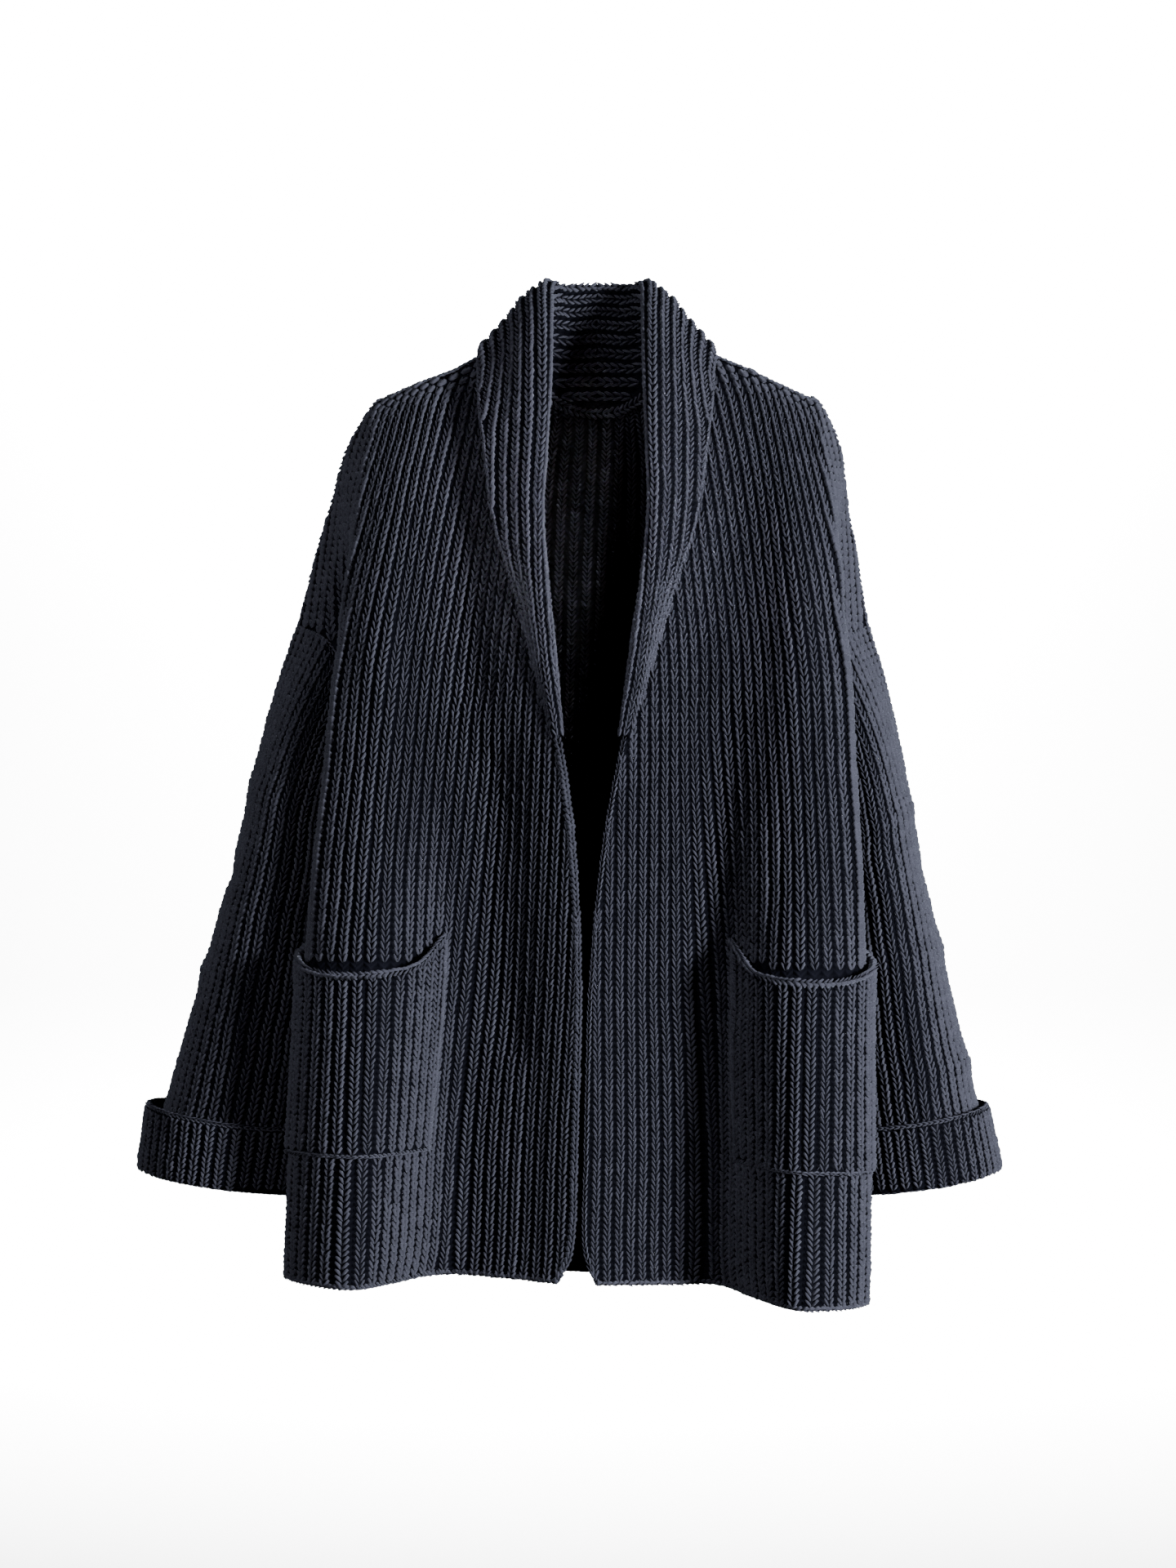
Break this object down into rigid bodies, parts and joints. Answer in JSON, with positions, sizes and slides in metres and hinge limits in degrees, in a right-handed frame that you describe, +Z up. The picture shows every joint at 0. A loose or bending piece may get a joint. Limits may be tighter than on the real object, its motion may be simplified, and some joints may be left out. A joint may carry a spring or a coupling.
{
  "type": "open-front v-neck cardigan with a shawl collar",
  "caption": "Open-front v-neck cardigan in thick rib knit, with a shawl collar, dropped shoulders, turned-up cuffs and patch pockets, hanging hollow.",
  "frame": {"origin": "the nape: the middle of the back neck seam, where the collar is sewn on", "axes": "+Z up, -Y the way the garment faces, +X towards the wearer's left"},
  "size_m": [0.7389, 0.2895, 0.8752],
  "materials": {
    "rib_knit": "matt thick wool in half-cardigan rib, dark navy",
    "rib_knit_reverse": "matt wool, the reverse of the rib",
    "linked_seam": "matt wool chain of a linked seam"
  },
  "bodies": {
    "root": {"back": "rib_knit", "front_left": "rib_knit", "front_right": "rib_knit", "sleeve_left": "rib_knit", "sleeve_right": "rib_knit", "cuff_left": "rib_knit_reverse", "cuff_right": "rib_knit_reverse", "collar_left": "rib_knit", "collar_right": "rib_knit", "pocket_left": "rib_knit", "pocket_right": "rib_knit", "neck_tape": "linked_seam"}
  },
  "joints": []
}
